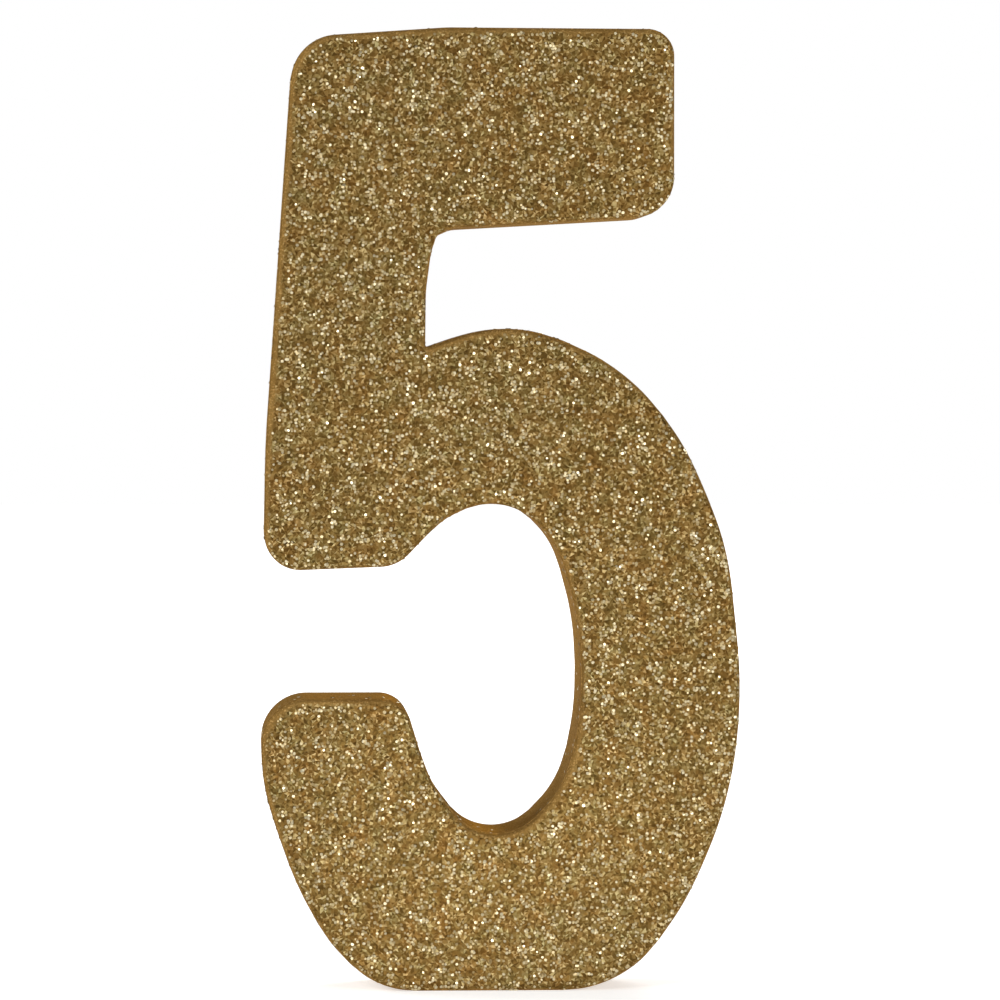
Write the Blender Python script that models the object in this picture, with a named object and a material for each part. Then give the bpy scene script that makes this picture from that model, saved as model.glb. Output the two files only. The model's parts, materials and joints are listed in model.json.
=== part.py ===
"""A number birthday candle, a gold numeral five: a cast wax digit that stands on its own flat foot.

The wick lies in a channel in the back of the stem, under a poured strip of wax, and comes out of the
back just below the top edge. Its free tip is folded down behind the digit and bends up to be lit.
Gold lacquer covers the sides and the back, and a coat of glitter covers the front.
Metres, +Z up, front towards -Y, origin on the foot at the middle of the digit.
"""

import math

import bmesh
import bpy
from mathutils import Matrix, Vector

MM = 0.001

# Driving dimensions, in metres.
THICKNESS = 10.0 * MM
COAT = 0.5 * MM  # the glitter and the varnish that holds it
SKIN = 0.25 * MM  # the lacquer
GAP = 0.1 * MM  # left between two pieces that touch
FRONT_EASED = 0.45 * MM  # radius of the digit's front edge
BACK_EASED = 0.2 * MM

WICK_RADIUS = 0.75 * MM
WICK_X = -11.0 * MM  # middle of the stem
WICK_END_Z = 37.6 * MM  # lower end, just above the bottom of the stem
EXIT_Z = 71.5 * MM  # where the wick comes out of the back
WICK_BEND = 2.0 * MM  # radius of its turn towards the back
TIP_LENGTH = 13.0 * MM
FOLD_Y = 6.0 * MM  # the fold, and the axis that the tip turns on

CHANNEL_WIDTH = 2.6 * MM
CHANNEL_TOP_Z = 73.2 * MM
CHANNEL_END_Z = 37.0 * MM

FRONT_Y = -THICKNESS / 2
BACK_Y = THICKNESS / 2
WAX_FRONT_Y = FRONT_Y + COAT + GAP
WAX_BACK_Y = BACK_Y - SKIN - GAP
WAX_INSET = SKIN + GAP
REACH = 1.0 * MM  # how far a cutter runs past the face that it opens

ROD_SIDES = 12
ARC_STEP = math.radians(13)  # longest turn between two points of a round corner
ARC_CHORD = 2.6 * MM  # longest distance between them

# The digit as straight sides that meet in rounded corners, clockwise as seen from the front:
# each corner's place across and up, and its radius, in millimetres. A wide radius makes the bowl's curve.
CORNERS = (
    (-16.1, 74.2, 3.7),  # bar, top left
    (-4.2, 75.0, 15.0),  # bar, where its top levels out
    (13.5, 74.9, 2.1),  # bar, top right
    (13.5, 60.4, 3.2),  # bar, bottom right
    (-3.7, 59.44, 2.2),  # bar, where its underside turns down to the stem
    (-5.0, 58.85, 0.75),  # between the bar and the stem
    (-5.45, 57.5, 5.0),
    (-5.85, 54.5, 11.0),  # stem, inner side
    (-5.9, 50.1, 0.2),  # notch between the stem and the bowl
    (0.7, 52.3, 11.0),  # bowl, outer side, from its top
    (9.7, 48.7, 17.0),
    (14.4, 42.5, 22.0),
    (17.7, 34.7, 23.0),
    (18.9, 23.1, 37.0),  # bowl, widest point
    (17.8, 14.5, 30.5),
    (14.4, 6.7, 24.0),
    (9.4, 0.0, 9.2),  # foot, right end
    (-9.5, 0.0, 7.1),  # foot, left end
    (-13.3, 3.6, 13.0),  # tail, outer side
    (-16.0, 8.2, 30.0),
    (-18.7, 16.3, 16.0),
    (-18.6, 22.8, 3.6),  # tail, top left
    (-7.6, 22.8, 2.4),  # tail, top right
    (-5.3, 15.6, 11.0),  # bowl, inner side, from the tail
    (-0.7, 10.5, 4.3),  # bowl, bottom of the hollow
    (4.9, 15.5, 9.1),
    (6.3, 21.6, 24.0),
    (6.2, 28.8, 24.0),
    (4.3, 35.1, 7.3),
    (0.4, 38.7, 5.1),  # bowl, top of the hollow
    (-4.3, 37.0, 6.9),
    (-8.1, 33.1, 3.2),  # stem, bottom right
    (-18.5, 32.7, 2.8),  # stem, bottom left
    (-18.2, 44.3, 110.0),  # stem, outer side
)


def clear_scene():
    for obj in list(bpy.data.objects):
        bpy.data.objects.remove(obj, do_unlink=True)


def material(name, colour, roughness, metallic=0.0):
    mat = bpy.data.materials.new(name)
    mat.use_nodes = True
    shader = mat.node_tree.nodes["Principled BSDF"]
    shader.inputs["Base Color"].default_value = (*colour, 1.0)
    shader.inputs["Roughness"].default_value = roughness
    shader.inputs["Metallic"].default_value = metallic
    return mat


def add_object(name, data, mat, location=(0.0, 0.0, 0.0)):
    obj = bpy.data.objects.new(name, data)
    obj.location = location
    data.materials.append(mat)
    bpy.context.scene.collection.objects.link(obj)
    return obj


def mesh_object(name, bm, mat, location=(0.0, 0.0, 0.0), sharp=30):
    bmesh.ops.recalc_face_normals(bm, faces=bm.faces)
    mesh = bpy.data.meshes.new(name)
    bm.to_mesh(mesh)
    bm.free()
    mesh.shade_smooth()
    mesh.set_sharp_from_angle(angle=math.radians(sharp))
    return add_object(name, mesh, mat, location)


def outline(inset=0.0):
    """The digit's outline as points (x, z), with each side moved inwards by inset.

    Every inset gives the same number of points, so that outlines can be joined point by point."""
    corners = [Vector((x, z)) * MM for x, z, _ in CORNERS]
    points = []
    for i, corner in enumerate(corners):
        radius = CORNERS[i][2] * MM
        before = (corners[i - 1] - corner).normalized()
        after = (corners[(i + 1) % len(corners)] - corner).normalized()
        turn = math.pi - before.angle(after)
        outwards = before.cross(after) > 0  # the corner points out of the digit
        start = corner + before * radius * math.tan(turn / 2)
        side = Vector((-before.y, before.x)) if outwards else Vector((before.y, -before.x))
        centre = start + side * radius
        spoke = -side * (radius - inset if outwards else radius + inset)
        steps = max(2, math.ceil(turn / ARC_STEP), math.ceil(turn * radius / ARC_CHORD))
        for step in range(steps + 1):
            angle = turn * step / steps
            points.append(centre + Matrix.Rotation(-angle if outwards else angle, 2) @ spoke)
    return points


def split_at_foot(points):
    """An outline's points in order, from the foot's left end round to its right end."""
    lowest = min(p.y for p in points)
    right = next(i for i, p in enumerate(points) if p.y < lowest + 0.01 * MM)
    return points[right + 1 :] + points[: right + 1]


def loft(name, rings, mat):
    """A slab through rings of points, each with its y, from the front to the back, closed at both ends."""
    bm = bmesh.new()
    loops = [[bm.verts.new((p.x, y, p.y)) for p in points] for points, y in rings]
    count = len(loops[0])
    for near, far in zip(loops, loops[1:]):
        for i in range(count):
            j = (i + 1) % count
            bm.faces.new((near[i], near[j], far[j], far[i]))
    bm.faces.new(loops[0])
    bm.faces.new(list(reversed(loops[-1])))
    return mesh_object(name, bm, mat)


def film(name, face_y, inner_y, radius, mat):
    """A flat skin of the digit's full outline, with its outer edge, at face_y, rounded."""
    inwards = 1 if inner_y > face_y else -1
    rings = []
    for step in range(4):
        angle = math.pi / 2 * step / 3
        inset = radius * (1 - math.sin(angle))
        rings.append((outline(inset), face_y + inwards * radius * (1 - math.cos(angle))))
    rings.append((outline(), inner_y))
    return loft(name, rings, mat)


def cut(obj, cutter):
    """Takes the cutter's shape out of obj, and keeps the cutter as a hidden guide."""
    cutter.hide_render = True
    cutter.display_type = "WIRE"
    modifier = obj.modifiers.new("cut " + cutter.name, "BOOLEAN")
    modifier.operation = "DIFFERENCE"
    modifier.solver = "EXACT"
    modifier.object = cutter


def wick_path(end_y):
    """The embedded wick's centre line: up the middle of the stem, then round to the back and out."""
    points = [(WICK_X, 0.0, z) for z in (WICK_END_Z, EXIT_Z - WICK_BEND)]
    for step in range(1, 7):
        angle = math.pi / 2 * step / 6
        y = WICK_BEND * (1 - math.cos(angle))
        z = EXIT_Z - WICK_BEND * (1 - math.sin(angle))
        points.append((WICK_X, y, z))
    points.append((WICK_X, end_y, EXIT_Z))
    return points


def tube(name, points, radius, mat):
    """A round rod along a path that lies in one plane across X, closed at both ends."""
    bm = bmesh.new()
    path = [Vector(p) for p in points]
    rings = []
    for i, place in enumerate(path):
        ahead = path[min(i + 1, len(path) - 1)]
        along = (ahead - path[max(i - 1, 0)]).normalized()
        across = Vector((1.0, 0.0, 0.0))
        up = along.cross(across)
        ring = []
        for step in range(ROD_SIDES):
            angle = 2 * math.pi * step / ROD_SIDES
            ring.append(bm.verts.new(place + radius * (math.cos(angle) * across + math.sin(angle) * up)))
        rings.append(ring)
    for near, far in zip(rings, rings[1:]):
        for a in range(ROD_SIDES):
            b = (a + 1) % ROD_SIDES
            bm.faces.new((near[a], near[b], far[b], far[a]))
    bm.faces.new(rings[0])
    bm.faces.new(list(reversed(rings[-1])))
    return mesh_object(name, bm, mat)


def turned(name, profile, mat, location):
    """A piece turned about its own Z axis from a profile of (radius, z), pole to pole."""
    bm = bmesh.new()
    verts = [bm.verts.new((radius, 0.0, z)) for radius, z in profile]
    edges = [bm.edges.new(pair) for pair in zip(verts, verts[1:])]
    bmesh.ops.spin(
        bm,
        geom=verts + edges,
        cent=(0, 0, 0),
        axis=(0, 0, 1),
        angle=2 * math.pi,
        steps=ROD_SIDES,
        use_merge=True,
    )
    bmesh.ops.remove_doubles(bm, verts=bm.verts, dist=0.001 * MM)
    return mesh_object(name, bm, mat, location)


def tip_profile():
    """Round at the fold, straight, and cut off square with a worn edge at the free end."""
    profile = []
    for step in range(5):
        angle = math.pi / 2 * step / 4
        profile.append((WICK_RADIUS * math.sin(angle), WICK_RADIUS * math.cos(angle)))
    worn = 0.25 * MM
    profile.append((WICK_RADIUS, -TIP_LENGTH + worn))
    profile.append((WICK_RADIUS - worn, -TIP_LENGTH))
    profile.append((0.0, -TIP_LENGTH))
    return profile


def block(name, low, high, mat):
    bm = bmesh.new()
    size = [b - a for a, b in zip(low, high)]
    middle = [(a + b) / 2 for a, b in zip(low, high)]
    bmesh.ops.create_cube(bm, size=1.0, matrix=Matrix.Translation(middle) @ Matrix.Diagonal((*size, 1.0)))
    return mesh_object(name, bm, mat)


def channel(name, inset, front_y, back_y, mat):
    """The prism of the wick's channel, with its sides and ends moved inwards by inset."""
    half = CHANNEL_WIDTH / 2 - inset
    low = (WICK_X - half, front_y, CHANNEL_END_Z + inset)
    high = (WICK_X + half, back_y, CHANNEL_TOP_Z - inset)
    return block(name, low, high, mat)


def make_wax_body(wax):
    """The casting, smaller than the digit by its skins, on a foot that reaches down past them."""
    points = split_at_foot(outline(WAX_INSET))
    left, right = points[0].x + GAP, points[-1].x - GAP
    points += [Vector(p) for p in ((right, WAX_INSET), (right, 0.0), (left, 0.0), (left, WAX_INSET))]
    body = loft("wax_body", [(points, WAX_FRONT_Y), (points, WAX_BACK_Y)], wax)
    cut(body, channel("channel_cutter", 0.0, -WICK_RADIUS - GAP, WAX_BACK_Y + REACH, wax))


def make_wick_seal(wax):
    seal = channel("wick_seal", GAP, WICK_RADIUS + GAP, WAX_BACK_Y, wax)
    path = wick_path(BACK_Y + REACH)
    cut(seal, tube("wick_clearance_cutter", path, WICK_RADIUS + GAP, wax))


def make_wick(cotton):
    stub_end = FOLD_Y - WICK_RADIUS - GAP
    tube("wick", wick_path(stub_end), WICK_RADIUS, cotton)
    turned("wick_tip", tip_profile(), cotton, (WICK_X, FOLD_Y, EXIT_Z))


def make_glitter_coat(glitter):
    film("glitter_coat", FRONT_Y, FRONT_Y + COAT, FRONT_EASED, glitter)


def make_edge_lacquer(gold):
    """A band round the sides, open at the foot."""
    bm = bmesh.new()
    sections = []
    for outer, inner in zip(split_at_foot(outline()), split_at_foot(outline(SKIN))):
        corners = ((outer, WAX_FRONT_Y), (outer, WAX_BACK_Y), (inner, WAX_BACK_Y), (inner, WAX_FRONT_Y))
        sections.append([bm.verts.new((p.x, y, p.y)) for p, y in corners])
    for near, far in zip(sections, sections[1:]):
        for a in range(4):
            b = (a + 1) % 4
            bm.faces.new((near[a], near[b], far[b], far[a]))
    bm.faces.new(sections[0])
    bm.faces.new(list(reversed(sections[-1])))
    mesh_object("edge_lacquer", bm, gold)


def make_back_lacquer(gold):
    inner_y = BACK_Y - SKIN
    back = film("back_lacquer", BACK_Y, inner_y, BACK_EASED, gold)
    path = [(WICK_X, inner_y - REACH, EXIT_Z), (WICK_X, BACK_Y + REACH, EXIT_Z)]
    cut(back, tube("wick_hole_cutter", path, WICK_RADIUS + 2 * GAP, gold))


def main():
    clear_scene()
    wax = material("golden wax", (0.42, 0.25, 0.08), 0.45)
    cotton = material("waxed cotton", (0.80, 0.74, 0.60), 0.8)
    gold = material("gold lacquer", (0.30, 0.17, 0.05), 0.35, 0.8)
    glitter = material("gold glitter", (0.45, 0.33, 0.14), 0.3, 1.0)
    make_wax_body(wax)
    make_wick_seal(wax)
    make_wick(cotton)
    make_glitter_coat(glitter)
    make_edge_lacquer(gold)
    make_back_lacquer(gold)


main()
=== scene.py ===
# Number birthday candle: the looks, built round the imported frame.
# Metres, +Z up, the glitter front towards -Y, the foot on the floor at z = 0.
import json
import math
import random

import bmesh
import bpy
from mathutils import Matrix, Vector, noise
from mathutils.kdtree import KDTree


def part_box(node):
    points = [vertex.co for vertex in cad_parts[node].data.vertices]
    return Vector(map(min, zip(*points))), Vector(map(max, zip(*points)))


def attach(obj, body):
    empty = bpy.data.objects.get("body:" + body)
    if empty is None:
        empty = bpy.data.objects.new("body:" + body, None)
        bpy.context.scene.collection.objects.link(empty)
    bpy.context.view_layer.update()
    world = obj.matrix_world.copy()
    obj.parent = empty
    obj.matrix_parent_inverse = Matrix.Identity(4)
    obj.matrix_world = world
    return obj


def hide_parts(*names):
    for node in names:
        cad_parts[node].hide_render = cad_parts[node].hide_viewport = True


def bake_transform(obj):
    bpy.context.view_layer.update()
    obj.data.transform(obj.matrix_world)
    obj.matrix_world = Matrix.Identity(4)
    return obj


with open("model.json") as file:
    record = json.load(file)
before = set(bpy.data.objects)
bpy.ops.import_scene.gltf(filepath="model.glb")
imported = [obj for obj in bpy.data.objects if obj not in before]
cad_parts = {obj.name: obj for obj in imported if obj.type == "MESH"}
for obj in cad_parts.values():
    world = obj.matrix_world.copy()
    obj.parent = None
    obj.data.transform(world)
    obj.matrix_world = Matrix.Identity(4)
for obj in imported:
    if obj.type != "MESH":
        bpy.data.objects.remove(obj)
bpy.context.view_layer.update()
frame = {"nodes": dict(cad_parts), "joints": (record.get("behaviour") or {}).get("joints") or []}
mm = 0.001
merge = 0.001 * mm  # corners closer than this are one
near = 0.01 * mm  # a place this close to a face lies on it


# Helpers that several pieces share.

outline = {
    "corner": 150.0,  # degrees between two edges, below which they meet in a real corner
    "longer": 1.7,  # an edge this many times longer than the next is a straight side beside an arc
    "straight": 0.2,  # degrees of bend up to which an edge stays straight
    "cuts": 3,  # new corners along each edge that bends
    "rimStep": 0.1 * mm,
    "ahead": 0.3 * mm,  # how far out from a wall to look
    "clear": 0.2 * mm,  # how far from the rim that is, if nothing is in the way
}


def nodeMesh(node):
    # a copy of a CAD node, its loose triangles joined up and its flats made whole again
    bm = bmesh.new()
    bm.from_mesh(frame["nodes"][node].data)
    bmesh.ops.remove_doubles(bm, verts=bm.verts, dist=merge)
    bmesh.ops.dissolve_limit(bm, angle_limit=math.radians(1), verts=bm.verts, edges=bm.edges)
    return bm


def tangentAt(vert, ringEdges):
    # the way that a ring of edges runs at one of its corners
    pair = [edge for edge in vert.link_edges if edge in ringEdges]
    if len(pair) != 2:
        return None
    before, after = (edge.other_vert(vert).co - vert.co for edge in pair)
    if before.angle(after) < math.radians(outline["corner"]):
        return None
    if before.length > outline["longer"] * after.length:
        return before.normalized()
    if after.length > outline["longer"] * before.length:
        return -after.normalized()
    return (before.normalized() - after.normalized()).normalized()


def roundedMesh(node):
    # a copy of a CAD node that bends evenly along the arcs of its outline, where the node has flats
    bm = nodeMesh(node)
    cuts = outline["cuts"]
    ringEdges = {e for e in bm.edges if abs(e.verts[0].co.y - e.verts[1].co.y) < merge}
    bends = []
    for edge in ringEdges:
        first, last = edge.verts
        step = last.co - first.co
        ways = []
        for vert in edge.verts:
            way = tangentAt(vert, ringEdges) or step.normalized()
            ways.append((way if way.dot(step) > 0 else -way) * step.length)
        if max(way.angle(step) for way in ways) > math.radians(outline["straight"]):
            bends.append((edge, first.co.copy(), last.co.copy(), *ways))
    bmesh.ops.subdivide_edges(bm, edges=[bend[0] for bend in bends], cuts=cuts, use_grid_fill=True)
    tree = KDTree(len(bm.verts))
    for i, vert in enumerate(bm.verts):
        tree.insert(vert.co, i)
    tree.balance()
    bm.verts.ensure_lookup_table()
    for _, start, end, leave, arrive in bends:
        for i in range(1, cuts + 1):
            t = i / (cuts + 1)
            vert = bm.verts[tree.find(start.lerp(end, t))[1]]
            # the cubic curve that leaves and arrives along the ways at its ends
            vert.co = (
                start * (2 * t**3 - 3 * t**2 + 1)
                + leave * (t**3 - 2 * t**2 + t)
                + end * (3 * t**2 - 2 * t**3)
                + arrive * (t**3 - t**2)
            )
    bm.normal_update()
    return bm


def addPiece(name, bm, material, shading="smooth", body="candle"):
    # a new object from a mesh, shaded smooth, flat or as its faces say, which moves with a body
    mesh = bpy.data.meshes.new(name)
    bm.to_mesh(mesh)
    bm.free()
    if shading == "smooth":
        mesh.shade_smooth()
    elif shading == "flat":
        mesh.shade_flat()
    mesh.materials.append(material)
    piece = bpy.data.objects.new(name, mesh)
    bpy.context.scene.collection.objects.link(piece)
    if body:
        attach(piece, body)
    return piece


def evenSkin(bm, size):
    # the same solid with even square faces all over
    mesh = bpy.data.meshes.new("skin")
    bm.to_mesh(mesh)
    bm.free()
    obj = bpy.data.objects.new("skin", mesh)
    bpy.context.scene.collection.objects.link(obj)
    remesh = obj.modifiers.new("Remesh", "REMESH")
    remesh.mode = "VOXEL"
    remesh.voxel_size = size
    evaluated = obj.evaluated_get(bpy.context.evaluated_depsgraph_get())
    fine = bmesh.new()
    fine.from_mesh(evaluated.to_mesh())
    evaluated.to_mesh_clear()
    bpy.data.objects.remove(obj)
    bpy.data.meshes.remove(mesh)
    return fine


def splitLong(bm, longest):
    # halves every edge that is longer than this, until none is
    while True:
        long = [edge for edge in bm.edges if edge.calc_length() > longest]
        if not long:
            return
        bmesh.ops.subdivide_edges(bm, edges=long, cuts=1, use_grid_fill=True)


def rimTree(step):
    # points along the digit's outline, which tell how far in from the edge a place on the face is
    bm = roundedMesh("glitter_coat")
    rear = max(v.co.y for v in bm.verts)
    spots = []
    for edge in bm.edges:
        a, b = (v.co for v in edge.verts)
        if min(a.y, b.y) > rear - near:
            count = max(1, math.ceil((b - a).length / step))
            spots += [a.lerp(b, i / count) for i in range(count)]
    bm.free()
    tree = KDTree(len(spots))
    for i, spot in enumerate(spots):
        tree.insert((spot.x, 0, spot.z), i)
    tree.balance()
    return tree


def isOutside(face):
    # true on the outer wall of the sides' band, which is a loop with an inner and an outer wall
    ahead = face.calc_center_median() + face.normal * outline["ahead"]
    return rim.find((ahead.x, 0, ahead.z))[2] > outline["clear"]


def smoothStep(low, high, value):
    t = min(1.0, max(0.0, (value - low) / (high - low)))
    return t * t * (3 - 2 * t)


def aimedAt(place, target):
    return (Vector(target) - Vector(place)).to_track_quat("-Z", "Y").to_euler()


rim = rimTree(outline["rimStep"])


# Shader node groups, each built once.


def newGroup(name, inputs):
    # an empty group with these inputs and one value as its output
    group = bpy.data.node_groups.new(name, "ShaderNodeTree")
    for socketName, kind, value in inputs:
        socket = group.interface.new_socket(socketName, in_out="INPUT", socket_type=kind)
        socket.default_value = value
    group.interface.new_socket("Value", in_out="OUTPUT", socket_type="NodeSocketFloat")
    start = group.nodes.new("NodeGroupInput")
    end = group.nodes.new("NodeGroupOutput")
    return group, start, end


def cloudGroup():
    # soft clouds in the object's own space, stretched to run between 0 and 1
    inputs = (("Size", "NodeSocketFloat", 0.002), ("Detail", "NodeSocketFloat", 3.0))
    group, start, end = newGroup("clouds", inputs)
    nodes, links = group.nodes, group.links
    place = nodes.new("ShaderNodeTexCoord")
    scale = nodes.new("ShaderNodeMath")
    scale.operation = "DIVIDE"
    scale.inputs[0].default_value = 1.0
    pattern = nodes.new("ShaderNodeTexNoise")
    spread = nodes.new("ShaderNodeMapRange")
    spread.inputs["From Min"].default_value = 0.3
    spread.inputs["From Max"].default_value = 0.7
    links.new(start.outputs["Size"], scale.inputs[1])
    links.new(place.outputs["Object"], pattern.inputs["Vector"])
    links.new(scale.outputs["Value"], pattern.inputs["Scale"])
    links.new(start.outputs["Detail"], pattern.inputs["Detail"])
    links.new(pattern.outputs["Fac"], spread.inputs["Value"])
    links.new(spread.outputs["Result"], end.inputs["Value"])
    return group


def grainGroup():
    # close grains, each with a value of its own
    group, start, end = newGroup("grains", (("Size", "NodeSocketFloat", 0.0002),))
    nodes, links = group.nodes, group.links
    place = nodes.new("ShaderNodeTexCoord")
    scale = nodes.new("ShaderNodeMath")
    scale.operation = "DIVIDE"
    scale.inputs[0].default_value = 1.0
    cells = nodes.new("ShaderNodeTexVoronoi")
    tone = nodes.new("ShaderNodeSeparateColor")
    links.new(start.outputs["Size"], scale.inputs[1])
    links.new(place.outputs["Object"], cells.inputs["Vector"])
    links.new(scale.outputs["Value"], cells.inputs["Scale"])
    links.new(cells.outputs["Color"], tone.inputs["Color"])
    links.new(tone.outputs["Red"], end.inputs["Value"])
    return group


groups = {"clouds": cloudGroup(), "grains": grainGroup()}


class Finish:
    # one material and the few node moves that all of them are made with

    def __init__(self, name, roughness=0.5, metallic=0.0):
        self.material = bpy.data.materials.new(name)
        self.material.use_nodes = True
        self.nodes = self.material.node_tree.nodes
        self.links = self.material.node_tree.links
        self.shader = self.nodes["Principled BSDF"]
        self.shader.inputs["Roughness"].default_value = roughness
        self.shader.inputs["Metallic"].default_value = metallic

    def group(self, name, **values):
        node = self.nodes.new("ShaderNodeGroup")
        node.node_tree = groups[name]
        for key, value in values.items():
            node.inputs[key].default_value = value
        return node.outputs["Value"]

    def attribute(self, name):
        node = self.nodes.new("ShaderNodeAttribute")
        node.attribute_name = name
        return node.outputs["Fac"]

    def ramp(self, value, stops):
        # a colour for a value between 0 and 1, from places on that scale and their colours
        node = self.nodes.new("ShaderNodeValToRGB")
        elements = node.color_ramp.elements
        while len(elements) < len(stops):
            elements.new(1.0)
        for element, (position, colour) in zip(elements, stops):
            element.position = position
            element.color = (*colour, 1)
        self.links.new(value, node.inputs["Fac"])
        return node.outputs["Color"]

    def blend(self, factor, a, b, mode="MIX"):
        # two colours mixed or multiplied; a mix node keeps its colour sockets at 6, 7 and, out, 2
        node = self.nodes.new("ShaderNodeMix")
        node.data_type = "RGBA"
        node.blend_type = mode
        for socket, value in ((node.inputs[0], factor), (node.inputs[6], a), (node.inputs[7], b)):
            if isinstance(value, bpy.types.NodeSocket):
                self.links.new(value, socket)
            elif isinstance(value, float):
                socket.default_value = value
            else:
                socket.default_value = (*value, 1)
        return node.outputs[2]

    def span(self, value, low, high, until=1.0):
        # a value between 0 and until, stretched to run from low to high
        node = self.nodes.new("ShaderNodeMapRange")
        node.inputs["From Max"].default_value = until
        for socket, limit in ((node.inputs["To Min"], low), (node.inputs["To Max"], high)):
            if isinstance(limit, bpy.types.NodeSocket):
                self.links.new(limit, socket)
            else:
                socket.default_value = limit
        self.links.new(value, node.inputs["Value"])
        return node.outputs["Result"]

    def bump(self, height, distance, strength):
        node = self.nodes.new("ShaderNodeBump")
        node.inputs["Distance"].default_value = distance
        node.inputs["Strength"].default_value = strength
        self.links.new(height, node.inputs["Height"])
        self.links.new(node.outputs["Normal"], self.shader.inputs["Normal"])

    def feed(self, socket, value):
        self.links.new(value, self.shader.inputs[socket])


# Camera, floor and lights.

camera = {
    "place": (-21.0 * mm, -475.0 * mm, 49.0 * mm),
    "target": (-0.1 * mm, -5.0 * mm, 38.27 * mm),
    "focalLength": 217.8,
    "sensor": 36.0,
    "clip": (0.01, 20.0),
}


def makeCamera():
    data = bpy.data.cameras.new("camera")
    data.lens = camera["focalLength"]
    data.sensor_width = camera["sensor"]
    data.clip_start, data.clip_end = camera["clip"]
    obj = bpy.data.objects.new("camera", data)
    obj.location = camera["place"]
    obj.rotation_euler = aimedAt(camera["place"], camera["target"])
    bpy.context.scene.collection.objects.link(obj)
    bpy.context.scene.camera = obj


studio = {
    "floorRadius": 1.6,
    "floorSides": 64,
    "floorRoughness": 0.9,
    "floorColour": (0.9, 0.9, 0.9),
    "floorGlow": (0.52, 0.88),  # a painted glow: the table gives off light though it is no lamp, its glow at the middle and far out
    "glowSpan": 0.5,  # where the outer glow is reached
    "backdrop": 1.0,  # what the camera sees round the candle
    "surround": 0.30,  # what lights the candle from all round
    # name, place, height that it is aimed at, size, watts
    "lamps": (
        ("keyLeft", (-0.45, -0.85, 0.55), 0.04, 0.22, 2.7),
        ("keyRight", (0.55, -0.80, 0.30), 0.04, 0.22, 2.7),
        ("rear", (0.25, 0.85, 0.60), 0.04, 0.40, 4.0),
        ("rearLeft", (-0.80, 0.35, 0.50), 0.04, 0.35, 3.0),
        ("lowFront", (0.0, -0.060, 0.006), 0.004, 0.012, 0.0068),
    ),
}


def makeFloor():
    table = Finish("paperWithPaintedGlow", roughness=studio["floorRoughness"])
    table.shader.inputs["Base Color"].default_value = (*studio["floorColour"], 1)
    table.shader.inputs["Emission Color"].default_value = (1, 1, 1, 1)
    # painted glow: the table gives off light, weaker near the middle and stronger further out
    place = table.nodes.new("ShaderNodeTexCoord")
    distance = table.nodes.new("ShaderNodeVectorMath")
    distance.operation = "LENGTH"
    table.links.new(place.outputs["Object"], distance.inputs[0])
    glow = table.span(distance.outputs["Value"], *studio["floorGlow"], until=studio["glowSpan"])
    table.feed("Emission Strength", glow)
    bm = bmesh.new()
    sides, radius = studio["floorSides"], studio["floorRadius"]
    bmesh.ops.create_circle(bm, cap_ends=True, segments=sides, radius=radius)
    mesh = bpy.data.meshes.new("table")
    bm.to_mesh(mesh)
    bm.free()
    mesh.materials.append(table.material)
    floor = bpy.data.objects.new("table", mesh)
    bpy.context.scene.collection.objects.link(floor)


def makeLamps():
    for name, place, aim, size, watts in studio["lamps"]:
        data = bpy.data.lights.new(name, "AREA")
        data.size = size
        data.energy = watts
        lamp = bpy.data.objects.new(name, data)
        lamp.location = place
        lamp.rotation_euler = aimedAt(place, (0, 0, aim))
        lamp.visible_camera = False
        bpy.context.scene.collection.objects.link(lamp)


def makeWorld():
    # one brightness for what the camera sees behind the candle, another for what lights it
    world = bpy.data.worlds.new("studio")
    bpy.context.scene.world = world
    world.use_nodes = True
    nodes, links = world.node_tree.nodes, world.node_tree.links
    nodes["Background"].inputs["Color"].default_value = (1, 1, 1, 1)
    rays = nodes.new("ShaderNodeLightPath")
    strength = nodes.new("ShaderNodeMix")
    strength.inputs["A"].default_value = studio["surround"]
    strength.inputs["B"].default_value = studio["backdrop"]
    links.new(rays.outputs["Is Camera Ray"], strength.inputs["Factor"])
    links.new(strength.outputs["Result"], nodes["Background"].inputs["Strength"])
    bpy.context.scene.view_settings.view_transform = "Standard"


# The glitter coat: a bed of small flakes lying close, and brighter ones that lie loose on top.

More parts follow.
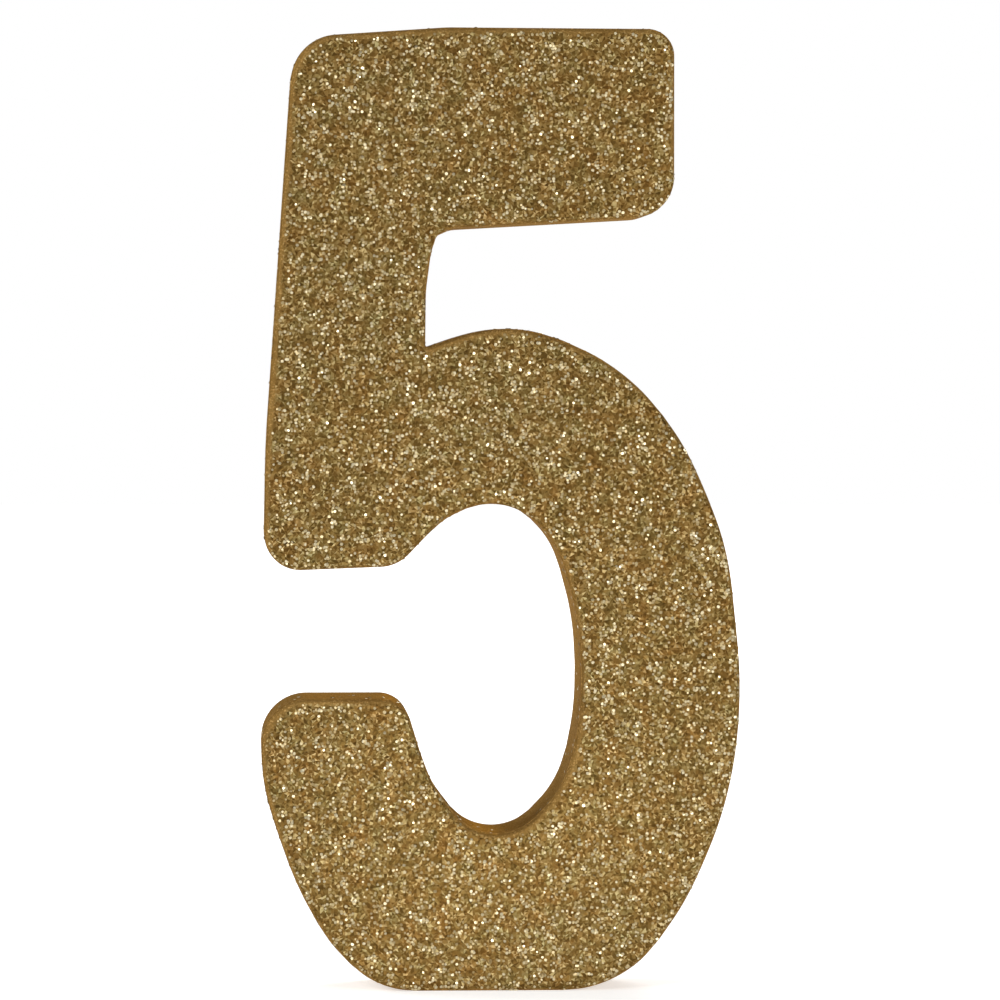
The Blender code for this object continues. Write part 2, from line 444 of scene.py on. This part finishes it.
glitter = {
    "bedSize": 0.215 * mm,  # one flake of the bed
    "bedSway": 0.34,  # how far its corners wander, as a share of its size
    "bedLift": 0.030 * mm,  # how far they stand up or sink
    "bare": 0.02 * mm,  # width of the edge that has no glitter
    "bareChange": 0.18 * mm,  # how much that changes from place to place
    "bareLean": 0.38 * mm,  # how much wider it is on edges that face the brush
    "brush": Vector((-0.65, 0, 0.76)),
    "patch": 2.4 * mm,  # over how long the width changes
    "edgeBlur": 0.1 * mm,  # half the width over which the glitter sets in
    "rearStrip": 0.12 * mm,  # bare strip along the coat's back
    "smoothUpTo": 0.3,  # cover up to which the coat is smooth
    # how light the bed's flakes are, from the darkest to the lightest, a random tone whose light end
    # is painted glints, and two slow changes of hue
    "bedTonesAndPaintedGlints": (
        (0.0, (0.078, 0.042, 0.010)),
        (0.5, (0.152, 0.090, 0.026)),
        (0.85, (0.240, 0.162, 0.060)),
        (1.0, (0.480, 0.375, 0.185)),
    ),
    "bedRoughness": (0.30, 0.50),
    "bedMetallic": 0.5,
    "bareRoughness": 0.55,
    "bareMetallic": 0.3,
    "patchSize": 1.3 * mm,
    "patchHues": ((0.0, (1.08, 0.95, 0.79)), (1.0, (0.94, 1.02, 0.97))),
    "driftSize": 9.0 * mm,
    "driftHues": ((0.0, (1.02, 0.99, 0.96)), (1.0, (0.99, 1.01, 1.05))),
    "flakeCount": 8800,
    "fullCover": 0.6,  # cover from which flakes lie on the bed
    "bunching": (0.3, 4.5),  # how readily a flake lies anywhere, and in the middle of a bunch
    "cluster": 0.7 * mm,  # size of the bunches
    "followBed": 0.5,  # how far a flake turns with the facet under it
    "flakeRadius": (0.095 * mm, 0.15 * mm),
    "flakeThickness": 0.018 * mm,
    "flakeSides": 6,
    "flakeTaper": 0.84,
    "flakeTilt": 21.0,  # degrees from flat
    "flakeTones": (
        (0.0, (0.27, 0.19, 0.08)),
        (0.5, (0.45, 0.355, 0.19)),
        (1.0, (0.66, 0.58, 0.385)),
    ),
    "flakeRoughness": (0.50, 0.30),
    "strayCount": 900,  # on the sides, thinning out towards the back
    "strayReach": 2.2 * mm,
    "strayFar": 0.02,  # how readily a flake lands far back, against 1 at the front
    "wallSlant": 0.3,  # how far a face may turn to the front or back and still be a side
    "footSlant": 0.98,  # how far down a face looks if it lies under the foot
    "seed": 5,
}


def bedCover(place):
    # how far the glitter covers a place on the coat: 0 along its edge, 1 inside
    flat = Vector((place.x, 0, place.z))
    spot, _, inward = rim.find(flat)
    outward = (spot - flat).normalized()
    start = glitter["bare"] + glitter["bareChange"] * (0.5 + noise.noise(place / glitter["patch"]))
    start += glitter["bareLean"] * max(0.0, outward.dot(glitter["brush"]))
    return smoothStep(start - glitter["edgeBlur"], start + glitter["edgeBlur"], inward)


def makeBed(chance, material):
    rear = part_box("glitter_coat")[1].y
    bm = evenSkin(roundedMesh("glitter_coat"), glitter["bedSize"])
    tone = bm.faces.layers.float.new("flake")
    cover = bm.faces.layers.float.new("cover")
    ahead = [vert for vert in bm.verts if vert.co.y <= rear - glitter["rearStrip"]]
    covered = {vert: bedCover(vert.co) for vert in ahead}
    for vert, amount in covered.items():
        sway = glitter["bedSway"] * glitter["bedSize"] * amount
        along = Vector((chance.uniform(-sway, sway), 0, chance.uniform(-sway, sway)))
        vert.co += along + vert.normal * chance.uniform(-1, 1) * glitter["bedLift"] * amount
    # the two ways to cut a square in half, mixed, so that no direction shows
    halves = {"FIXED": [], "ALTERNATE": []}
    for face in bm.faces:
        halves[chance.choice(("FIXED", "ALTERNATE"))].append(face)
    for method, faces in halves.items():
        bmesh.ops.triangulate(bm, faces=faces, quad_method=method)
    sites = []
    for face in bm.faces:
        # a random tone for each flake, whose light end the material paints as glints
        face[tone] = chance.random()
        # a corner on the strip along the back counts against the glitter
        amount = sum(covered.get(vert, -1) for vert in face.verts) / 3
        face[cover] = max(0.0, amount)
        face.smooth = amount < glitter["smoothUpTo"]
        if amount >= 0:
            sites.append((face.calc_center_median(), face.normal.copy(), amount))
    piece = addPiece("glitterBed", bm, material, shading="mixed")
    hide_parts("glitter_coat")
    print("glitter bed:", len(piece.data.polygons), "faces")
    return sites


def makePlate():
    # one flake: a hexagon, 1 from its middle to a corner and 1 thick, to be flattened later
    bm = bmesh.new()
    bmesh.ops.create_cone(
        bm,
        cap_ends=True,
        segments=glitter["flakeSides"],
        radius1=1.0,
        radius2=glitter["flakeTaper"],
        depth=1.0,
    )
    plate = bpy.data.meshes.new("plate")
    bm.to_mesh(plate)
    bm.free()
    return plate


def layFlakes(name, chance, sites, material):
    # a flake at each site, which is a place and the direction that the surface faces there
    plate = makePlate()
    sides = len(plate.polygons)
    bm = bmesh.new()
    for place, normal in sites:
        radius = chance.uniform(*glitter["flakeRadius"])
        lean = math.radians(glitter["flakeTilt"]) * math.sqrt(chance.random())
        facing = normal.to_track_quat("Z", "Y").to_matrix().to_4x4()
        turn = Matrix.Rotation(chance.uniform(0, 2 * math.pi), 4, "Z")
        spin = Matrix.Rotation(chance.uniform(0, math.pi), 4, "Z")
        tilt = turn @ Matrix.Rotation(lean, 4, "X") @ spin
        size = Matrix.Diagonal((radius, radius, glitter["flakeThickness"], 1))
        rise = normal * radius * math.sin(lean) / 2
        matrix = Matrix.Translation(place + rise) @ facing @ tilt @ size
        plate.transform(matrix)
        bm.from_mesh(plate)
        plate.transform(matrix.inverted())
    tone = bm.faces.layers.float.new("flake")
    tones = [chance.random() for _ in sites]
    for i, face in enumerate(bm.faces):
        face[tone] = tones[i // sides]
    bpy.data.meshes.remove(plate)
    addPiece(name, bm, material, shading="flat")
    print(name + ":", len(sites), "flakes")


def faceSites(chance, sites):
    # bunches of flakes all over the front
    full = [site for site in sites if site[2] > glitter["fullCover"]]
    anywhere, bunched = glitter["bunching"]
    clumps = [max(0.0, noise.noise(place / glitter["cluster"])) for place, _, _ in full]
    weights = [anywhere + bunched * clump for clump in clumps]
    chosen = chance.choices(full, weights=weights, k=glitter["flakeCount"])
    front = Vector((0, -1, 0))
    follow = glitter["followBed"]
    return [(place, front.lerp(normal, follow).normalized()) for place, normal, _ in chosen]


def straySites(chance, node):
    # flakes that fell past the front and stuck to the sides
    bm = roundedMesh(node)
    bmesh.ops.triangulate(bm, faces=bm.faces)
    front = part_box(node)[0].y
    splitLong(bm, glitter["strayReach"] / 2)
    walls = [face for face in bm.faces if abs(face.normal.y) < glitter["wallSlant"]]
    outer = [f for f in walls if f.normal.z > -glitter["footSlant"] and isOutside(f)]
    weights = []
    for face in outer:
        depth = (face.calc_center_median().y - front) / glitter["strayReach"]
        weights.append(face.calc_area() * (math.exp(-depth) + glitter["strayFar"]))
    chosen = []
    for face in chance.choices(outer, weights=weights, k=glitter["strayCount"]):
        # any place on the triangle, as shares of its three corners
        corners = [vert.co for vert in face.verts]
        shares = sorted((0.0, chance.random(), chance.random(), 1.0))
        place = sum((c * (b - a) for c, a, b in zip(corners, shares, shares[1:])), Vector())
        chosen.append((place, face.normal.copy()))
    bm.free()
    return chosen


def bedMaterial():
    # the bed's flakes, and the lacquer that shows where they leave the coat bare
    finish = Finish("glitterBed")
    flake = finish.attribute("flake")
    # each flake's random tone, its light end a painted glint
    toneAndGlint = finish.ramp(flake, glitter["bedTonesAndPaintedGlints"])
    patch = finish.group("clouds", Size=glitter["patchSize"], Detail=2.0)
    drift = finish.group("clouds", Size=glitter["driftSize"], Detail=1.0)
    hue = finish.ramp(patch, glitter["patchHues"])
    warmth = finish.ramp(drift, glitter["driftHues"])
    bed = finish.blend(1.0, finish.blend(1.0, toneAndGlint, hue, "MULTIPLY"), warmth, "MULTIPLY")
    cover = finish.attribute("cover")
    finish.feed("Base Color", finish.blend(cover, lacquerColour(finish), bed))
    darkest, lightest = glitter["bedRoughness"]
    edged = finish.span(cover, glitter["bareRoughness"], darkest)
    finish.feed("Roughness", finish.span(flake, edged, lightest))
    finish.feed("Metallic", finish.span(cover, glitter["bareMetallic"], glitter["bedMetallic"]))
    finish.shader.inputs["Specular Tint"].default_value = (*lacquer["edgeTint"], 1)
    finish.shader.inputs["Specular IOR Level"].default_value = 0.0
    return finish.material


def flakeMaterial():
    finish = Finish("glitterFlake", metallic=1.0)
    flake = finish.attribute("flake")
    finish.feed("Base Color", finish.ramp(flake, glitter["flakeTones"]))
    finish.feed("Roughness", finish.span(flake, *glitter["flakeRoughness"]))
    return finish.material


# The lacquer on the sides and the back: brushed on, a little uneven, with gold grains in it.

lacquer = {
    "split": 0.7 * mm,  # longest edge of the sides' mesh
    "lap": 0.14 * mm,  # how far the sides reach under the front and back coats
    "wave": 0.03 * mm,  # how uneven the coat lies
    "waveLength": 3.0 * mm,
    "wavesFrom": 1.0 * mm,  # how far from the front and the back the waves are whole
    "sharp": 35.0,  # degrees from which an edge stays sharp
    "cloudSize": 5.0 * mm,
    "cloudTones": ((0.0, (0.238, 0.133, 0.036)), (1.0, (0.288, 0.170, 0.050))),
    "pigment": 0.10 * mm,  # size of the gold grains in it
    "pigmentTones": ((0.0, (0.78, 0.76, 0.72)), (0.8, (1.05, 1.05, 1.03)), (1.0, (1.75, 1.85, 2.2))),
    "roughness": (0.58, 0.40),
    "metallic": 0.35,
    "flowSize": 0.6 * mm,
    "flowDepth": 0.04 * mm,
    "flowStrength": 0.6,
    "edgeTint": (0.62, 0.40, 0.16),  # what it mirrors at a low angle
}


def lacquerColour(finish):
    clouds = finish.group("clouds", Size=lacquer["cloudSize"], Detail=4.0)
    pigment = finish.group("grains", Size=lacquer["pigment"])
    base = finish.ramp(clouds, lacquer["cloudTones"])
    grain = finish.ramp(pigment, lacquer["pigmentTones"])
    return finish.blend(1.0, base, grain, "MULTIPLY")


def lacquerMaterial():
    finish = Finish("goldLacquer", metallic=lacquer["metallic"])
    pigment = finish.group("grains", Size=lacquer["pigment"])
    flow = finish.group("clouds", Size=lacquer["flowSize"], Detail=3.0)
    finish.feed("Base Color", lacquerColour(finish))
    finish.feed("Roughness", finish.span(pigment, *lacquer["roughness"]))
    finish.bump(flow, lacquer["flowDepth"], lacquer["flowStrength"])
    finish.shader.inputs["Specular Tint"].default_value = (*lacquer["edgeTint"], 1)
    finish.shader.inputs["Specular IOR Level"].default_value = 0.0
    return finish.material


def makeSides(material):
    bm = roundedMesh("edge_lacquer")
    splitLong(bm, lacquer["split"])
    front, back = (corner.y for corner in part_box("edge_lacquer"))
    bm.normal_update()
    for vert in bm.verts:
        room = smoothStep(0, lacquer["wavesFrom"], min(vert.co.y - front, back - vert.co.y))
        lift = lacquer["wave"] * noise.noise(vert.co / lacquer["waveLength"])
        vert.co += vert.normal * lift * room
        if vert.co.y < front + near:
            vert.co.y -= lacquer["lap"]
        elif vert.co.y > back - near:
            vert.co.y += lacquer["lap"]
    piece = addPiece("sideLacquer", bm, material)
    piece.data.set_sharp_from_angle(angle=math.radians(lacquer["sharp"]))
    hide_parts("edge_lacquer")
    print("sides:", len(piece.data.polygons), "faces")


def makeBack(material):
    bm = roundedMesh("back_lacquer")
    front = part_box("back_lacquer")[0].y
    for vert in bm.verts:
        if vert.co.y < front + near:
            vert.co.y -= lacquer["lap"] / 3
    piece = addPiece("backLacquer", bm, material)
    piece.data.set_sharp_from_angle(angle=math.radians(lacquer["sharp"]))
    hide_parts("back_lacquer")
    print("back:", len(piece.data.polygons), "faces")


# The wax: bare at the foot and in the bead round the wick's hole.

casting = {
    "cloudSize": 4.0 * mm,
    "tones": ((0.0, (0.40, 0.235, 0.075)), (1.0, (0.47, 0.29, 0.10))),
    "roughness": (0.38, 0.55),
    "fineSize": 0.3 * mm,
    "fineDepth": 0.02 * mm,
    "fineStrength": 0.5,
    "glow": 0.25,
    "glowDepth": (0.0010, 0.0005, 0.0002),  # how deep light goes into it
}


def waxMaterial():
    finish = Finish("goldenWax")
    clouds = finish.group("clouds", Size=casting["cloudSize"], Detail=3.0)
    fine = finish.group("clouds", Size=casting["fineSize"], Detail=4.0)
    finish.feed("Base Color", finish.ramp(clouds, casting["tones"]))
    finish.feed("Roughness", finish.span(fine, *casting["roughness"]))
    finish.bump(fine, casting["fineDepth"], casting["fineStrength"])
    finish.shader.inputs["Subsurface Weight"].default_value = casting["glow"]
    finish.shader.inputs["Subsurface Radius"].default_value = casting["glowDepth"]
    return finish.material


# The wick: three twisted strands of waxed cotton, in two pieces that meet inside the back face.

wick = {
    "strands": 3,
    "strandRadius": 0.36 * mm,
    "orbit": 0.36 * mm,  # from the wick's middle to each strand's
    "twist": 3.2 * mm,  # length of one full turn
    "step": 0.2 * mm,
    "exitBend": 2.0 * mm,  # radius of the turn towards the back
    "foldBend": 0.95 * mm,  # radius of the fold
    "held": 0.8 * mm,  # how far inside the back face the part that bends begins
    "slub": 0.08,  # how much the strands' thickness changes
    "fibres": 14,  # frayed ends
    "fibreLength": (0.6 * mm, 1.5 * mm),
    "fibreRoot": (0.1 * mm, 0.5 * mm),  # from the wick's middle
    "fibreSunk": 0.3 * mm,  # how far each begins inside the cut end
    "fibreSpread": 0.35,
    "fibreSteps": 4,
    "fibreScale": (0.16, 0.06),  # thickness at the root and the tip, as a share of a strand's
    "sharp": 60.0,  # degrees from which an edge stays sharp
    "roughness": 0.6,
    "cloudSize": 1.5 * mm,
    "tones": ((0.0, (0.74, 0.66, 0.50)), (1.0, (0.84, 0.79, 0.67))),
    "grainSize": 0.12 * mm,
    "grainDepth": 0.03 * mm,
    "grainStrength": 0.8,
    "grainTones": ((0.0, (0.80, 0.78, 0.74)), (1.0, (1.06, 1.06, 1.06))),
    "seed": 11,
}


def wickLine():
    # the centre line as short steps, with its direction at each: up, back, and down behind
    joint = frame["joints"][0]
    foldX, foldY, foldZ = joint["pos_m"]
    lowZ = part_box("wick")[0].z
    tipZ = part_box("wick_tip")[0].z
    exitBend, foldBend = wick["exitBend"], wick["foldBend"]
    runs = (
        ("straight", foldZ - exitBend - lowZ, 0),
        ("bend", exitBend, -90),
        ("straight", foldY - foldBend - exitBend, 0),
        ("bend", foldBend, -90),
        ("straight", foldZ - foldBend - tipZ, 0),
    )
    spots = [(Vector((foldX, 0, lowZ)), Vector((0, 0, 1)))]
    for kind, size, degrees in runs:
        length = size if kind == "straight" else size * math.radians(abs(degrees))
        count = max(2, round(length / wick["step"]))
        for _ in range(count):
            place, along = spots[-1]
            turn = Matrix.Rotation(math.radians(degrees) / count / 2, 3, "X")
            along = turn @ along
            chord = length / count
            spots.append((place + along * chord, turn @ along))
    return spots


def twistedStrands(spots):
    # each strand as a list of places and thicknesses, wound round the centre line
    sideways = Vector((1, 0, 0))
    lines = []
    for strand in range(wick["strands"]):
        line = []
        travelled = 0.0
        for i, (place, along) in enumerate(spots):
            if i:
                travelled += (place - spots[i - 1][0]).length
            angle = 2 * math.pi * (travelled / wick["twist"] + strand / wick["strands"])
            away = sideways * math.cos(angle) + along.cross(sideways) * math.sin(angle)
            scale = 1.0 + wick["slub"] * noise.noise(place / mm + away)
            line.append((place + away * wick["orbit"], scale))
        lines.append(line)
    return lines


def frayedEnd(chance, place, along):
    # loose fibres that spread from the cut end
    lines = []
    root, tip = wick["fibreScale"]
    for _ in range(wick["fibres"]):
        angle = chance.uniform(0, 2 * math.pi)
        away = Vector((math.cos(angle), math.sin(angle), 0))
        reach = chance.uniform(*wick["fibreLength"])
        start = place + away * chance.uniform(*wick["fibreRoot"]) - along * wick["fibreSunk"]
        line = []
        for step in range(wick["fibreSteps"] + 1):
            t = step / wick["fibreSteps"]
            bent = away * reach * wick["fibreSpread"] * t * t
            line.append((start + along * reach * t + bent, root + (tip - root) * t))
        lines.append(line)
    return lines


def strandMesh(lines):
    # round strands along the lines, as one closed mesh each
    data = bpy.data.curves.new("strands", "CURVE")
    data.dimensions = "3D"
    data.bevel_depth = wick["strandRadius"]
    data.bevel_resolution = 2
    data.use_fill_caps = True
    for line in lines:
        spline = data.splines.new("POLY")
        spline.points.add(len(line) - 1)
        for point, (place, scale) in zip(spline.points, line):
            point.co = (*place, 1)
            point.radius = scale
    obj = bpy.data.objects.new("strands", data)
    bpy.context.scene.collection.objects.link(obj)
    evaluated = obj.evaluated_get(bpy.context.evaluated_depsgraph_get())
    bm = bmesh.new()
    bm.from_mesh(evaluated.to_mesh())
    evaluated.to_mesh_clear()
    bpy.data.objects.remove(obj)
    bmesh.ops.remove_doubles(bm, verts=bm.verts, dist=merge / 10)
    bmesh.ops.recalc_face_normals(bm, faces=bm.faces)
    return bm


def makeWick(material):
    chance = random.Random(wick["seed"])
    spots = wickLine()
    lines = twistedStrands(spots)
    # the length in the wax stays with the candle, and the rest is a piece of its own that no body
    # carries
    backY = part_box("back_lacquer")[1].y
    split = next(i for i, (place, _) in enumerate(spots) if place.y > backY - wick["held"])
    core = strandMesh([line[: split + 1] for line in lines])
    piece = addPiece("wickCore", core, material)
    piece.data.set_sharp_from_angle(angle=math.radians(wick["sharp"]))
    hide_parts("wick")
    free = strandMesh([line[split:] for line in lines] + frayedEnd(chance, *spots[-1]))
    piece = addPiece("wickEnd", free, material, body=None)
    piece.data.set_sharp_from_angle(angle=math.radians(wick["sharp"]))
    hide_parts("wick_tip")
    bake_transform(piece)
    print("wick:", len(piece.data.polygons), "faces")


def cottonMaterial():
    finish = Finish("waxedCotton", roughness=wick["roughness"])
    fine = finish.group("clouds", Size=wick["grainSize"], Detail=4.0)
    clouds = finish.group("clouds", Size=wick["cloudSize"], Detail=2.0)
    base = finish.ramp(clouds, wick["tones"])
    grain = finish.ramp(fine, wick["grainTones"])
    finish.feed("Base Color", finish.blend(1.0, base, grain, "MULTIPLY"))
    finish.bump(fine, wick["grainDepth"], wick["grainStrength"])
    return finish.material


# Behind: the strip of wax over the wick shows through the lacquer as a low ridge.

ridge = {
    "width": 3.4 * mm,
    "sunk": 0.18 * mm,
    "rise": 0.18 * mm,
    "rounding": 0.45,  # as a share of the width
    "segments": 8,
}


def makeRidge(material):
    low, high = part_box("wick_seal")
    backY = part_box("back_lacquer")[1].y
    bm = bmesh.new()
    size = Matrix.Diagonal((ridge["width"], ridge["width"], high.z - low.z, 1))
    bmesh.ops.create_cube(bm, size=1.0, matrix=size)
    bmesh.ops.bevel(
        bm,
        geom=bm.edges[:],
        offset=ridge["width"] * ridge["rounding"],
        segments=ridge["segments"],
        profile=0.5,
        affect="EDGES",
        material=-1,
    )
    flatten = (ridge["rise"] + ridge["sunk"]) / ridge["width"]
    bmesh.ops.scale(bm, verts=bm.verts, vec=(1, flatten, 1))
    middle = (low + high) / 2
    middle.y = backY + (ridge["rise"] - ridge["sunk"]) / 2
    bmesh.ops.translate(bm, verts=bm.verts, vec=middle)
    addPiece("sealRidge", bm, material)
    print("ridge over the wick")


# A bead of wax closes the hole that the wick comes out of.

bead = {
    "radius": 1.35 * mm,
    "rise": 0.45 * mm,
    "sunk": 0.1 * mm,
    "fullness": 1.4,  # 1 is a round section, and more falls away sooner
    "unevenness": 0.16,
    "lobes": 1.3,
    "unevenFrom": 1.05,  # as a share of the wick's radius, so that the inner ring stays round
    "segments": 32,
    "rings": 8,
    "sharp": 50.0,  # degrees from which an edge stays sharp
}


def makeBead(material):
    foldX, _, foldZ = frame["joints"][0]["pos_m"]
    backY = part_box("back_lacquer")[1].y
    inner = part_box("wick")[1].x - foldX
    bm = bmesh.new()
    # the bead's section, from the wick's side over the top and down to the lacquer
    width = bead["radius"] - inner
    section = [bm.verts.new((inner, -bead["sunk"], 0))]
    for step in range(bead["rings"] + 1):
        angle = math.pi / 2 * step / bead["rings"]
        rise = bead["rise"] * math.cos(angle) ** bead["fullness"]
        section.append(bm.verts.new((inner + width * math.sin(angle), rise, 0)))
    section.append(bm.verts.new((bead["radius"], -bead["sunk"], 0)))
    edges = [bm.edges.new(pair) for pair in zip(section, section[1:] + section[:1])]
    bmesh.ops.spin(
        bm,
        geom=section + edges,
        cent=(0, 0, 0),
        axis=(0, 1, 0),
        angle=2 * math.pi,
        steps=bead["segments"],
        use_merge=True,
    )
    bmesh.ops.remove_doubles(bm, verts=bm.verts, dist=merge)
    bmesh.ops.recalc_face_normals(bm, faces=bm.faces)
    for vert in bm.verts:
        radial = Vector((vert.co.x, 0, vert.co.z))
        if radial.length > inner * bead["unevenFrom"]:
            lobe = noise.noise(radial.normalized() * bead["lobes"])
            vert.co += radial * bead["unevenness"] * lobe
    bmesh.ops.translate(bm, verts=bm.verts, vec=(foldX, backY, foldZ))
    piece = addPiece("wickBead", bm, material)
    piece.data.set_sharp_from_angle(angle=math.radians(bead["sharp"]))
    print("bead round the wick")


print("stage: camera and studio")
makeCamera()
makeFloor()
makeLamps()
makeWorld()

print("stage: glitter")
chance = random.Random(glitter["seed"])
sites = makeBed(chance, bedMaterial())
loose = flakeMaterial()
layFlakes("glitterFlakes", chance, faceSites(chance, sites), loose)
layFlakes("strayFlakes", chance, straySites(chance, "edge_lacquer"), loose)

print("stage: lacquer")
gold = lacquerMaterial()
makeSides(gold)
makeRidge(gold)
makeBack(gold)

print("stage: wax and wick")
wax = waxMaterial()
makeBead(wax)
for name in ("wax_body", "wick_seal"):
    frame["nodes"][name].material_slots[0].material = wax
makeWick(cottonMaterial())
